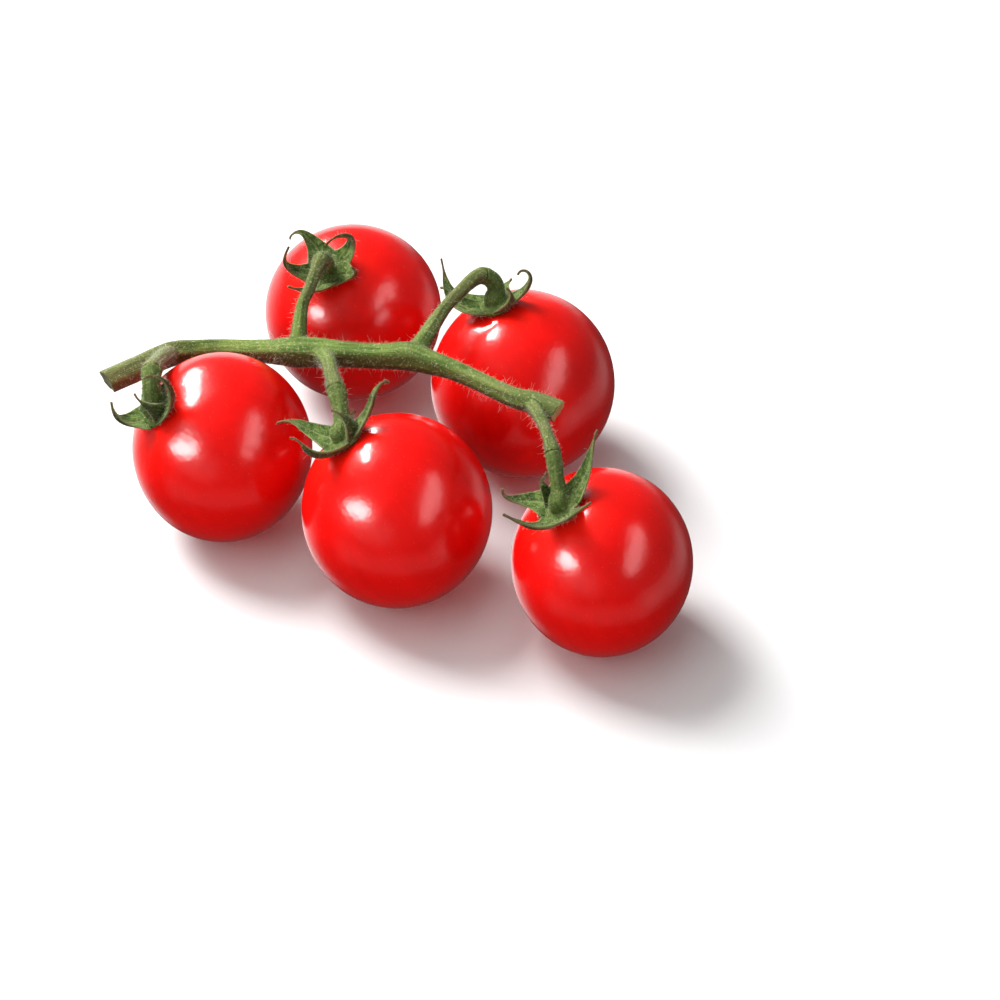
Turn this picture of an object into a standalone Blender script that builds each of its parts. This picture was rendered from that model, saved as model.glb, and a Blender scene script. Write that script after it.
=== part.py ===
"""A truss of five small vine tomatoes, as picked, lying on its fruits.

One main stem, cut at both ends, carries five stalks, set left and right of it in turn. Each stalk
has a swollen knuckle, where a ripe fruit breaks away, and past the knuckle it flares into a calyx
of five sepals on the shoulder of its tomato.

The figures are millimetres and degrees, and the model is in metres, +Z up. The truss rests on
z = 0, its origin is under the middle of its box, and the main stem runs along X.
"""
import math

import bpy
import bmesh
from mathutils import Matrix, Vector

MM = 0.001
# space left between two pieces that touch
GAP = 0.3
# points of a fused piece this near each other are made one
SLIVER = 0.01

# Tomatoes, in order along the stem: the centre in plan, the half height (and half depth), the half
# width along X, and the way the stem end faces.
TOMATOES = (
    dict(centre=(-30.7, -4.6), half_height=17.25, half_width=16.34, stem_end=(-0.679, -0.214, 0.703)),
    dict(centre=(-7.9, 34.7), half_height=16.58, half_width=16.58, stem_end=(-0.270, -0.373, 0.888)),
    dict(centre=(1.3, -22.0), half_height=17.50, half_width=17.05, stem_end=(-0.532, 0.155, 0.832)),
    dict(centre=(23.9, 13.1), half_height=17.35, half_width=16.98, stem_end=(-0.290, 0.163, 0.943)),
    dict(centre=(37.7, -34.8), half_height=16.76, half_width=16.06, stem_end=(-0.450, -0.117, 0.885)),
)
# how far the fruit's own weight has flattened it where it rests
REST_FLAT = 0.2
# the hollow round the stem end: its depth and half width, as parts of the fruit's radius
DIMPLE_DEPTH = 0.053
DIMPLE_SPREAD = 0.22
FRUIT_SEGMENTS = 32
FRUIT_RINGS = 18
# how much closer together the rings lie in the hollow than over the rest of the fruit
RING_CROWDING = 0.45

# Main stem, from its old cut end to its young one: x, y, height and radius of the centre line.
STEM = (
    (-52.2, 6.7, 23.0, 2.30), (-46.3, 10.9, 23.0, 2.30), (-41.0, 14.6, 23.0, 2.30),
    (-36.5, 15.7, 22.8, 2.10), (-31.5, 16.0, 22.8, 2.00), (-26.2, 14.4, 24.0, 2.00),
    (-21.4, 11.1, 26.5, 2.30), (-17.0, 8.0, 29.0, 2.75), (-12.6, 6.0, 30.5, 2.60),
    (-7.4, 4.2, 31.5, 2.30), (-1.0, 2.6, 32.5, 2.35), (3.5, 1.9, 33.0, 2.60),
    (7.1, 0.0, 33.2, 2.20), (11.1, -2.3, 33.5, 1.85), (16.1, -6.3, 34.0, 1.70),
    (21.8, -11.1, 34.6, 1.80), (25.9, -13.2, 35.0, 2.00), (30.1, -15.8, 35.2, 2.05),
)
STEM_SIDES = 12
STEM_STEPS = 2

# Stalks, from inside the main stem over the knuckle to the calyx: x, y, height and radius of the
# centre line, and which point is the knuckle's middle.
STALKS = (
    dict(points=((-41.0, 14.6, 23.0, 1.60), (-41.6, 7.2, 28.5, 1.60), (-42.2, -0.1, 33.0, 1.55),
                 (-42.5, -4.9, 35.3, 1.90), (-42.5, -7.6, 33.9, 1.60), (-42.3, -8.6, 31.6, 1.65)),
         knuckle=3),
    dict(points=((-17.1, 8.6, 29.5, 1.70), (-16.4, 14.5, 34.0, 1.15), (-15.1, 17.5, 36.0, 1.10),
                 (-13.8, 21.2, 37.6, 1.20), (-13.0, 23.6, 37.8, 1.60), (-12.3, 25.8, 36.0, 1.40),
                 (-12.3, 27.1, 33.8, 1.50)),
         knuckle=4),
    dict(points=((-12.8, 5.2, 30.5, 1.70), (-11.2, -0.7, 34.0, 1.40), (-10.2, -6.9, 35.6, 1.35),
                 (-9.4, -10.8, 36.0, 1.80), (-8.6, -14.3, 35.0, 1.45), (-8.2, -17.0, 33.4, 1.60)),
         knuckle=3),
    dict(points=((4.5, 2.8, 33.0, 1.90), (9.2, 10.4, 36.5, 1.25), (12.4, 14.0, 38.2, 1.20),
                 (15.0, 16.7, 39.1, 1.40), (16.8, 17.7, 39.0, 1.65), (18.5, 17.9, 37.4, 1.60),
                 (19.0, 17.3, 35.4, 1.65)),
         knuckle=4),
    dict(points=((24.8, -12.6, 34.8, 1.50), (26.9, -19.8, 37.0, 1.15), (28.3, -26.6, 38.0, 1.10),
                 (28.9, -30.2, 38.0, 1.50), (29.5, -33.4, 35.6, 1.30), (29.9, -35.3, 33.5, 1.50)),
         knuckle=3),
)
STALK_SIDES = 10
STALK_STEPS = 2
# the flared foot of the stalk, down into the calyx: height above the fruit and radius
STALK_FOOT = ((2.0, 1.75), (0.9, 2.1))
# the knuckle's collar on each side of its middle: distance and part of the knuckle's radius
COLLAR = ((GAP / 2, 1.0), (0.55, 0.98), (1.05, 0.84))

# Sepals of each calyx, looking down on it: heading, length, width at the root, angle above the
# fruit at the root and at the tip, the turn of the heading along the blade, and the hook of its
# last part, up and round.
SEPALS = (
    (
        (205, 9.8, 6.2, 30, 172, 16, -15, 40),
        (-42, 7.8, 3.0, 60, 150, -16, 0, -30),
        (-25, 16.4, 5.4, 13, 117, 70, 17, 53),
        (62, 3.6, 3.2, 0, -8, 0, 0, 0),
        (125, 6.5, 3.2, 0, -18, 0, 0, 0),
    ),
    (
        (106, 9.8, 4.8, 10, 73, 48, -93, 104),
        (193, 13.3, 4.2, 40, 148, 3, -5, 26),
        (29, 14.7, 4.2, 10, 206, 2, 8, 0),
        (-21, 8.7, 4.8, 8, 98, -10, 19, 0),
        (-94, 12.3, 4.2, 40, 89, -63, -39, -27),
    ),
    (
        (147, 12.4, 5.0, 28, 50, -20, -50, 50),
        (-117, 13.3, 4.8, 12, 114, 3, 45, 104),
        (2, 12.6, 4.6, 17, 80, 22, -148, 54),
        (-21, 7.2, 4.4, 55, 164, -3, -18, -8),
        (80, 7.0, 3.4, 2, -14, 0, 0, 0),
    ),
    (
        (196, 14.3, 5.0, 16, 92, -163, -18, 39),
        (154, 10.2, 3.8, 10, 49, -27, -58, 14),
        (-12, 11.4, 4.2, 13, 109, 14, 99, 50),
        (-48, 7.2, 4.0, 16, 111, 2, 21, 25),
        (72, 7.0, 3.4, 2, -12, 0, 0, 0),
    ),
    (
        (148, 11.0, 5.2, 5, 81, 61, 44, -6),
        (-108, 14.4, 5.0, 25, 119, -50, -54, -20),
        (34, 13.0, 4.8, 11, 77, 17, -52, -3),
        (-69, 11.9, 5.0, 31, 56, 60, -66, 39),
        (126, 8.1, 3.0, 70, 150, 19, 35, 113),
    ),
)
# where along the blade its hook starts
HOOK_START = 0.55
SEPAL_THICKNESS = 0.7
# how far the edges stand above the midrib, as a part of half the width
SEPAL_CUP = 0.35
SEPAL_STATIONS = 11
SEPAL_ACROSS = 4
SEPAL_ROOT_RADIUS = 2.4
SEPAL_ROOT_HEIGHT = 0.55
SEPAL_TIP_WIDTH = 0.7
# how late along the blade it bends up: 1 is an even bend, more leaves the root straighter
SEPAL_BEND = 1.4
# the disc that the sepals grow from, as radius and height above the fruit
RECEPTACLE = ((0.0, 0.0), (2.7, 0.0), (3.3, 0.4), (3.1, 0.95), (2.3, 1.45), (1.85, 2.2), (0.0, 2.6))
RECEPTACLE_SEGMENTS = 16

# corners blunter than this, in degrees, are shaded round
FRUIT_SHARP = 60
GREEN_SHARP = 40

GREEN = (0.13, 0.22, 0.04, 1.0)
DARK_GREEN = (0.06, 0.14, 0.03, 1.0)
RED = (0.72, 0.02, 0.012, 1.0)


def clear_scene():
    for leftover in list(bpy.data.objects):
        bpy.data.objects.remove(leftover)


def plain_material(name, colour, roughness):
    material = bpy.data.materials.new(name)
    material.use_nodes = True
    shader = material.node_tree.nodes["Principled BSDF"]
    shader.inputs["Base Color"].default_value = colour
    shader.inputs["Roughness"].default_value = roughness
    shader.inputs["Metallic"].default_value = 0.0
    return material


def add_object(name, points, faces, material):
    """A closed mesh from points in millimetres, with its faces turned outward."""
    mesh = bpy.data.meshes.new(name)
    mesh.from_pydata([Vector(point) * MM for point in points], [], faces)
    work = bmesh.new()
    work.from_mesh(mesh)
    bmesh.ops.recalc_face_normals(work, faces=work.faces)
    work.to_mesh(mesh)
    work.free()
    mesh.materials.append(material)
    piece = bpy.data.objects.new(name, mesh)
    bpy.context.scene.collection.objects.link(piece)
    return piece


def smooth_path(points, steps):
    """Points on a smooth curve through the given rows of x, y, z and radius."""
    rows = [Vector(point) for point in points]
    rows = [2 * rows[0] - rows[1]] + rows + [2 * rows[-1] - rows[-2]]
    path = []
    for before, start, end, after in zip(rows, rows[1:], rows[2:], rows[3:]):
        for step in range(steps):
            t = step / steps
            path.append(0.5 * (2 * start + (end - before) * t
                               + (2 * before - 5 * start + 4 * end - after) * t ** 2
                               + (3 * start - before - 3 * end + after) * t ** 3))
    path.append(rows[-2])
    return path


def rings_along(path):
    """A ring at each point of the path, each carried on from the last without a twist."""
    centres = [row.to_3d() for row in path]
    rings = []
    side = Vector((0.0, 0.0, 1.0))
    for index, centre in enumerate(centres):
        ahead = centres[min(index + 1, len(centres) - 1)]
        behind = centres[max(index - 1, 0)]
        along = (ahead - behind).normalized()
        side = (side - along * side.dot(along)).normalized()
        rings.append(dict(centre=centre, along=along, side=side, radius=path[index][3]))
    return rings


def collar_ring(ring, distance, part):
    return dict(ring, centre=ring["centre"] + ring["along"] * distance, radius=ring["radius"] * part)


def tube(name, rings, sides, material):
    """A round solid through the rings, with flat ends."""
    points = []
    for ring in rings:
        other = ring["along"].cross(ring["side"])
        for corner in range(sides):
            angle = 2 * math.pi * corner / sides
            spoke = ring["side"] * math.cos(angle) + other * math.sin(angle)
            points.append(ring["centre"] + spoke * ring["radius"])
    faces = [tuple(range(sides))]
    faces.append(tuple(range(len(points) - sides, len(points))))
    for index in range(len(rings) - 1):
        for corner in range(sides):
            following = (corner + 1) % sides
            low = index * sides
            high = low + sides
            faces.append((low + corner, low + following, high + following, high + corner))
    return add_object(name, points, faces, material)


def turned(name, profile, segments, place, material):
    """A solid of revolution from rows of radius and height, both ends on the axis."""
    points = [place @ Vector((0.0, 0.0, profile[0][1]))]
    for radius, height in profile[1:-1]:
        for segment in range(segments):
            angle = 2 * math.pi * segment / segments
            points.append(place @ Vector((radius * math.cos(angle), radius * math.sin(angle), height)))
    points.append(place @ Vector((0.0, 0.0, profile[-1][1])))
    last = len(points) - 1
    rings = len(profile) - 2
    faces = []
    for segment in range(segments):
        following = (segment + 1) % segments
        faces.append((0, 1 + following, 1 + segment))
        top = 1 + (rings - 1) * segments
        faces.append((top + segment, top + following, last))
        for ring in range(rings - 1):
            low = 1 + ring * segments
            high = low + segments
            faces.append((low + segment, low + following, high + following, high + segment))
    return add_object(name, points, faces, material)


def keep_outer_skin(mesh):
    """Fill any small hollow left shut between fused pieces, and close up slivers along the seams."""
    work = bmesh.new()
    work.from_mesh(mesh)
    unseen = set(work.faces)
    skins = []
    for start in work.faces:
        if start not in unseen:
            continue
        unseen.remove(start)
        skin = [start]
        for face in skin:
            for edge in face.edges:
                for neighbour in edge.link_faces:
                    if neighbour in unseen:
                        unseen.remove(neighbour)
                        skin.append(neighbour)
        skins.append(skin)
    skins.sort(key=len)
    for skin in skins[:-1]:
        bmesh.ops.delete(work, geom=skin, context="FACES")
    bmesh.ops.remove_doubles(work, verts=work.verts, dist=SLIVER * MM)
    bmesh.ops.dissolve_degenerate(work, edges=work.edges, dist=SLIVER * MM)
    bmesh.ops.triangulate(work, faces=work.faces)
    work.to_mesh(mesh)
    work.free()


def fused(name, pieces):
    """The pieces as one closed body: a union of the first with all the others."""
    main, others = pieces[0], pieces[1:]
    group = bpy.data.collections.new(name + "_pieces")
    for piece in others:
        group.objects.link(piece)
    union = main.modifiers.new("union", "BOOLEAN")
    union.operation = "UNION"
    union.solver = "EXACT"
    union.operand_type = "COLLECTION"
    union.collection = group
    bpy.context.view_layer.update()
    whole = bpy.data.meshes.new_from_object(main.evaluated_get(bpy.context.evaluated_depsgraph_get()))
    keep_outer_skin(whole)
    main.modifiers.clear()
    main.data = whole
    main.name = name
    whole.name = name
    for piece in others:
        bpy.data.objects.remove(piece)
    bpy.data.collections.remove(group)
    return main


def shade_round(piece, sharp_angle):
    piece.data.shade_smooth()
    piece.data.set_sharp_from_angle(angle=math.radians(sharp_angle))


# Tomatoes

def fruit_radius(polar):
    """Radius of a fruit of radius 1 at an angle from its stem end."""
    return 1.0 - DIMPLE_DEPTH * math.exp(-(polar / DIMPLE_SPREAD) ** 2)


def facing(origin, axis):
    """A frame at the origin with Z along the axis, and X as near the world's as it can be."""
    axis = axis.normalized()
    across = Vector((1.0, 0.0, 0.0))
    across = (across - axis * across.dot(axis)).normalized()
    turn = Matrix((across, axis.cross(across), axis)).transposed()
    return Matrix.Translation(origin) @ turn.to_4x4()


def fruit_place(tomato):
    """The frame of one tomato: Z out of its stem end, squeezed to its width along the world's X."""
    squeeze = Matrix.Diagonal((tomato["half_width"] / tomato["half_height"], 1.0, 1.0, 1.0))
    centre = Vector((*tomato["centre"], tomato["half_height"] - REST_FLAT))
    turn = facing(Vector(), Vector(tomato["stem_end"]))
    return Matrix.Translation(centre) @ squeeze @ turn


def build_tomato(number, tomato, material):
    profile = []
    for ring in range(FRUIT_RINGS + 1):
        share = ring / FRUIT_RINGS
        polar = math.pi * ((1 - RING_CROWDING) * share + RING_CROWDING * share ** 2)
        radius = tomato["half_height"] * fruit_radius(polar)
        profile.append((radius * math.sin(polar), radius * math.cos(polar)))
    fruit = turned(f"tomato_{number}", profile, FRUIT_SEGMENTS, fruit_place(tomato), material)
    work = bmesh.new()
    work.from_mesh(fruit.data)
    everything = work.verts[:] + work.edges[:] + work.faces[:]
    cut = bmesh.ops.bisect_plane(work, geom=everything, plane_co=(0, 0, 0), plane_no=(0, 0, -1),
                                 clear_outer=True)
    rim = [item for item in cut["geom_cut"] if isinstance(item, bmesh.types.BMEdge)]
    bmesh.ops.contextual_create(work, geom=rim)
    bmesh.ops.recalc_face_normals(work, faces=work.faces)
    work.to_mesh(fruit.data)
    work.free()
    shade_round(fruit, FRUIT_SHARP)
    return fruit


# Calyxes

def calyx_place(tomato):
    """The frame of one calyx: its origin just clear of the shoulder, Z out of the fruit."""
    place = fruit_place(tomato)
    # the shoulder is the highest ring round the hollow, looked for over the stem end's first 0.6 rad
    angles = [step / 100 for step in range(60)]
    shoulder = max(fruit_radius(angle) * math.cos(angle) for angle in angles)
    origin = place @ Vector((0.0, 0.0, tomato["half_height"] * shoulder + GAP))
    squeezed_axis = place.to_3x3().inverted().transposed() @ Vector((0.0, 0.0, 1.0))
    return facing(origin, squeezed_axis)


def sepal_width(share, width):
    """A lance shape: widest near the root, drawn out to a narrow tip."""
    return max(SEPAL_TIP_WIDTH, width * (1 - share) ** 1.7 * (0.95 + 1.3 * share))


def build_sepal(name, place, sepal, material):
    heading, length, width, root_angle, tip_angle, turn, hook_up, hook_round = sepal
    step = length / (SEPAL_STATIONS - 1)
    yaw = math.radians(heading)
    position = Vector((math.cos(yaw), math.sin(yaw), 0.0)) * SEPAL_ROOT_RADIUS
    position.z = SEPAL_ROOT_HEIGHT
    upper = []
    lower = []
    for station in range(SEPAL_STATIONS):
        share = station / (SEPAL_STATIONS - 1)
        hook = (max(share - HOOK_START, 0.0) / (1 - HOOK_START)) ** 1.5
        yaw = math.radians(heading + turn * share + hook_round * hook)
        pitch = math.radians(root_angle + (tip_angle - root_angle) * share ** SEPAL_BEND + hook_up * hook)
        along = Vector((math.cos(pitch) * math.cos(yaw), math.cos(pitch) * math.sin(yaw), math.sin(pitch)))
        across = Vector((-math.sin(yaw), math.cos(yaw), 0.0))
        inward = along.cross(across)
        if station:
            position = position + along * step
        half = sepal_width(share, width) / 2
        for column in range(SEPAL_ACROSS + 1):
            side = 2 * column / SEPAL_ACROSS - 1
            middle = position + across * half * side + inward * half * SEPAL_CUP * side ** 2
            upper.append(place @ (middle + inward * SEPAL_THICKNESS / 2))
            lower.append(place @ (middle - inward * SEPAL_THICKNESS / 2))
    row = SEPAL_ACROSS + 1
    under = len(upper)
    faces = []
    for station in range(SEPAL_STATIONS - 1):
        for column in range(SEPAL_ACROSS):
            a = station * row + column
            b = a + row
            # both skins are split along the same diagonal
            faces += [(a, b, b + 1), (a, b + 1, a + 1)]
            faces += [(under + a, under + b + 1, under + b), (under + a, under + a + 1, under + b + 1)]
    for edge in (0, SEPAL_ACROSS):
        for station in range(SEPAL_STATIONS - 1):
            a = station * row + edge
            b = a + row
            faces.append((a, b, under + b, under + a))
    for end in (0, (SEPAL_STATIONS - 1) * row):
        for column in range(SEPAL_ACROSS):
            a = end + column
            faces.append((a, a + 1, under + a + 1, under + a))
    return add_object(name, upper + lower, faces, material)


def stalk_rings(stalk, tomato):
    """The rings of one stalk on each side of its knuckle, with a gap where the two pieces meet."""
    place = calyx_place(tomato)
    foot = tuple((*(place @ Vector((0.0, 0.0, height))), radius) for height, radius in STALK_FOOT)
    rings = rings_along(smooth_path(stalk["points"] + foot, STALK_STEPS))
    knuckle = stalk["knuckle"] * STALK_STEPS
    before = [collar_ring(rings[knuckle], -distance, part) for distance, part in reversed(COLLAR)]
    after = [collar_ring(rings[knuckle], distance, part) for distance, part in COLLAR]
    return rings[:knuckle] + before, after + rings[knuckle + 1:]


def build_calyx(number, tomato, far_rings, sepals, material):
    name = f"calyx_{number}"
    place = calyx_place(tomato)
    pieces = [tube(name, far_rings, STALK_SIDES, material)]
    pieces.append(turned(name + "_receptacle", RECEPTACLE, RECEPTACLE_SEGMENTS, place, material))
    for index, sepal in enumerate(sepals):
        pieces.append(build_sepal(f"{name}_sepal_{index}", place, sepal, material))
    calyx = fused(name, pieces)
    shade_round(calyx, GREEN_SHARP)
    return calyx


# Main stem with the near halves of its stalks

def build_stem(near_halves, material):
    rings = rings_along(smooth_path(STEM, STEM_STEPS))
    pieces = [tube("truss_stem", rings, STEM_SIDES, material)]
    for number, near_rings in enumerate(near_halves, start=1):
        pieces.append(tube(f"stalk_{number}", near_rings, STALK_SIDES, material))
    stem = fused("truss_stem", pieces)
    shade_round(stem, GREEN_SHARP)
    return stem


def main():
    clear_scene()
    stem_green = plain_material("stem_green", GREEN, 0.6)
    calyx_green = plain_material("calyx_green", DARK_GREEN, 0.6)
    skin = plain_material("tomato_skin", RED, 0.12)
    near_halves = []
    for number, (tomato, stalk, sepals) in enumerate(zip(TOMATOES, STALKS, SEPALS), start=1):
        near, far = stalk_rings(stalk, tomato)
        near_halves.append(near)
        build_tomato(number, tomato, skin)
        build_calyx(number, tomato, far, sepals, calyx_green)
    build_stem(near_halves, stem_green)


main()
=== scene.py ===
import math

import bpy
import numpy as np
from mathutils import Matrix, Quaternion, Vector
from mathutils.bvhtree import BVHTree
from mathutils.interpolate import poly_3d_calc


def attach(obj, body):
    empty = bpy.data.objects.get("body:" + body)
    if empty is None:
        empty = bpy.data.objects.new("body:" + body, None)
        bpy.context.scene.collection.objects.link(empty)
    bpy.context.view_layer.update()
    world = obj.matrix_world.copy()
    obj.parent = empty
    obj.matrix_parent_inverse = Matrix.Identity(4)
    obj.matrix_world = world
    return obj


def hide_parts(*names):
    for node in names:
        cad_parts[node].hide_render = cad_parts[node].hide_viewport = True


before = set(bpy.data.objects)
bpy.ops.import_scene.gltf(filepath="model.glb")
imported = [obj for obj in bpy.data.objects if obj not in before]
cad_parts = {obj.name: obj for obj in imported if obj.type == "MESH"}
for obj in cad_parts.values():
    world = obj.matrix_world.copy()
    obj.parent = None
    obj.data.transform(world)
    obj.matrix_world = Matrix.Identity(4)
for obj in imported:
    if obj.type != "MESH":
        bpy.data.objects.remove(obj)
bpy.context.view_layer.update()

# Sizes are millimetres and degrees unless a comment says otherwise, as in the part's source.

# Main stem
# The axis of the truss with the near halves of its five stalks: one fresh green stem, ribbed
# lengthwise and cut at both ends. The stalks grow out of it with soft roots.

MM = 0.001

# the centre line, from the old cut end to the young one: x, y, height and radius
STEM = (
    (-52.2, 6.7, 23.0, 2.30), (-46.3, 10.9, 23.0, 2.30), (-41.0, 14.6, 23.0, 2.30),
    (-36.5, 15.7, 22.8, 2.10), (-31.5, 16.0, 22.8, 2.00), (-26.2, 14.4, 24.0, 2.00),
    (-21.4, 11.1, 26.5, 2.30), (-17.0, 8.0, 29.0, 2.75), (-12.6, 6.0, 30.5, 2.60),
    (-7.4, 4.2, 31.5, 2.30), (-1.0, 2.6, 32.5, 2.35), (3.5, 1.9, 33.0, 2.60),
    (7.1, 0.0, 33.2, 2.20), (11.1, -2.3, 33.5, 1.85), (16.1, -6.3, 34.0, 1.70),
    (21.8, -11.1, 34.6, 1.80), (25.9, -13.2, 35.0, 2.00), (30.1, -15.8, 35.2, 2.05),
)
# the five stalks in order along the stem, from inside it over the knuckle to the calyx
STALKS = (
    dict(points=((-41.0, 14.6, 23.0, 1.60), (-41.6, 7.2, 28.5, 1.60), (-42.2, -0.1, 33.0, 1.55),
                 (-42.5, -4.9, 35.3, 1.90), (-42.5, -7.6, 33.9, 1.60), (-42.3, -8.6, 31.6, 1.65)),
         knuckle=3),
    dict(points=((-17.1, 8.6, 29.5, 1.70), (-16.4, 14.5, 34.0, 1.15), (-15.1, 17.5, 36.0, 1.10),
                 (-13.8, 21.2, 37.6, 1.20), (-13.0, 23.6, 37.8, 1.60), (-12.3, 25.8, 36.0, 1.40),
                 (-12.3, 27.1, 33.8, 1.50)),
         knuckle=4),
    dict(points=((-12.8, 5.2, 30.5, 1.70), (-11.2, -0.7, 34.0, 1.40), (-10.2, -6.9, 35.6, 1.35),
                 (-9.4, -10.8, 36.0, 1.80), (-8.6, -14.3, 35.0, 1.45), (-8.2, -17.0, 33.4, 1.60)),
         knuckle=3),
    dict(points=((4.5, 2.8, 33.0, 1.90), (9.2, 10.4, 36.5, 1.25), (12.4, 14.0, 38.2, 1.20),
                 (15.0, 16.7, 39.1, 1.40), (16.8, 17.7, 39.0, 1.65), (18.5, 17.9, 37.4, 1.60),
                 (19.0, 17.3, 35.4, 1.65)),
         knuckle=4),
    dict(points=((24.8, -12.6, 34.8, 1.50), (26.9, -19.8, 37.0, 1.15), (28.3, -26.6, 38.0, 1.10),
                 (28.9, -30.2, 38.0, 1.50), (29.5, -33.4, 35.6, 1.30), (29.9, -35.3, 33.5, 1.50)),
         knuckle=3),
)
PATH_STEPS = 8
STEM_SIDES = 48
STEM_RIBS = 5
STEM_RIB_DEPTH = 0.05
STALK_SIDES = 30
STALK_RIBS = 5
STALK_RIB_DEPTH = 0.035
# how fast the ribs wind round, in radians a millimetre
RIB_TWIST = 0.05
# the knuckle on each side of its groove: distance from the groove and part of the knuckle's radius
COLLAR = ((0.02, 0.95), (0.18, 0.99), (0.5, 1.0), (0.85, 0.95), (1.2, 0.87))
# the face of a cut end: how far it is sunk, and part of the end's radius
CUT_FACE = ((0.28, 0.30), (0.26, 0.62), (0.16, 0.84), (0.10, 0.95))
# how uneven the cuts are along the stem, how far they slant out towards their top, as a part of
# the radius, and how far from each cut the slant reaches
RAGGED = 0.08
CUT_SLANT = 0.32
SLANT_REACH = 2.5
# how fine the one skin round the stem and its stalks is, and how often it is smoothed
STEM_VOXEL = 0.2
STEM_SMOOTHING = 6


def smooth_path(points, steps):
    """Points on a smooth curve through the given rows of x, y, z and radius."""
    rows = [Vector(point) for point in points]
    rows = [2 * rows[0] - rows[1]] + rows + [2 * rows[-1] - rows[-2]]
    path = []
    for before, start, end, after in zip(rows, rows[1:], rows[2:], rows[3:]):
        for step in range(steps):
            t = step / steps
            path.append(0.5 * (2 * start + (end - before) * t
                               + (2 * before - 5 * start + 4 * end - after) * t ** 2
                               + (3 * start - before - 3 * end + after) * t ** 3))
    path.append(rows[-2])
    return path


def rings_along(path):
    """A ring at each point of the path, each carried on from the last without a twist."""
    centres = [row.to_3d() for row in path]
    rings = []
    side = Vector((0.0, 0.0, 1.0))
    for index, centre in enumerate(centres):
        ahead = centres[min(index + 1, len(centres) - 1)]
        behind = centres[max(index - 1, 0)]
        along = (ahead - behind).normalized()
        side = (side - along * side.dot(along)).normalized()
        rings.append(dict(centre=centre, along=along, side=side, radius=path[index][3]))
    return rings


def ring_beside(ring, distance, part):
    return dict(ring, centre=ring["centre"] + ring["along"] * distance, radius=ring["radius"] * part)


def stalk_halves(rings, knuckle):
    """The rings on each side of a knuckle, with the groove where a ripe fruit breaks away."""
    reach = COLLAR[-1][0]
    middle = rings[knuckle]
    near = [ring for ring in rings[:knuckle] if (ring["centre"] - middle["centre"]).length > reach]
    far = [ring for ring in rings[knuckle + 1:] if (ring["centre"] - middle["centre"]).length > reach]
    before = [ring_beside(middle, -distance, part) for distance, part in reversed(COLLAR)]
    after = [ring_beside(middle, distance, part) for distance, part in COLLAR]
    return near + before, after + far


def solid(points, faces, grain, blade=None, cut=None):
    """One closed shape to be grown together with others, with what its materials read at each point."""
    count = len(points)
    return dict(
        points=np.array([tuple(point) for point in points]),
        faces=faces,
        grain=np.array(grain, float),
        blade=np.zeros((count, 3)) if blade is None else np.array(blade, float),
        cut=np.zeros(count) if cut is None else np.array(cut, float),
    )


def ribbed_tube(rings, sides, ribs, rib_depth, cut_rings=0):
    """A tube through the rings. Its grain is each point's place in the tube laid out straight."""
    points = []
    grain = []
    cut = []
    gaps = [(ring["centre"] - before["centre"]).length for before, ring in zip([rings[0]] + rings, rings)]
    travelled = 0.0
    for index, ring in enumerate(rings):
        travelled += gaps[index]
        other = ring["along"].cross(ring["side"])
        near_start = max(1 - travelled / SLANT_REACH, 0.0)
        near_end = max(1 - (sum(gaps) - travelled) / SLANT_REACH, 0.0)
        slant = CUT_SLANT * ring["radius"] * (near_end - near_start) if cut_rings else 0.0
        for corner in range(sides):
            angle = 2 * math.pi * corner / sides
            at_cut = index < cut_rings or index >= len(rings) - cut_rings
            ragged = RAGGED * (math.sin(3 * angle) + math.sin(7 * angle + 1)) if at_cut else 0.0
            radius = ring["radius"] * (1 + rib_depth * math.cos(ribs * angle + RIB_TWIST * travelled))
            outward = ring["side"] * math.cos(angle) + other * math.sin(angle)
            shift = ring["along"] * (ragged + slant * math.cos(angle))
            points.append(ring["centre"] + outward * radius + shift)
            grain.append((radius * math.cos(angle), radius * math.sin(angle), travelled))
            cut.append(1.0 if at_cut else 0.0)
    faces = [tuple(range(sides)), tuple(range(len(points) - sides, len(points)))]
    for low in range(0, len(points) - sides, sides):
        for corner in range(sides):
            following = (corner + 1) % sides
            faces.append((low + corner, low + following, low + sides + following, low + sides + corner))
    return solid(points, faces, grain, cut=cut)


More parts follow.
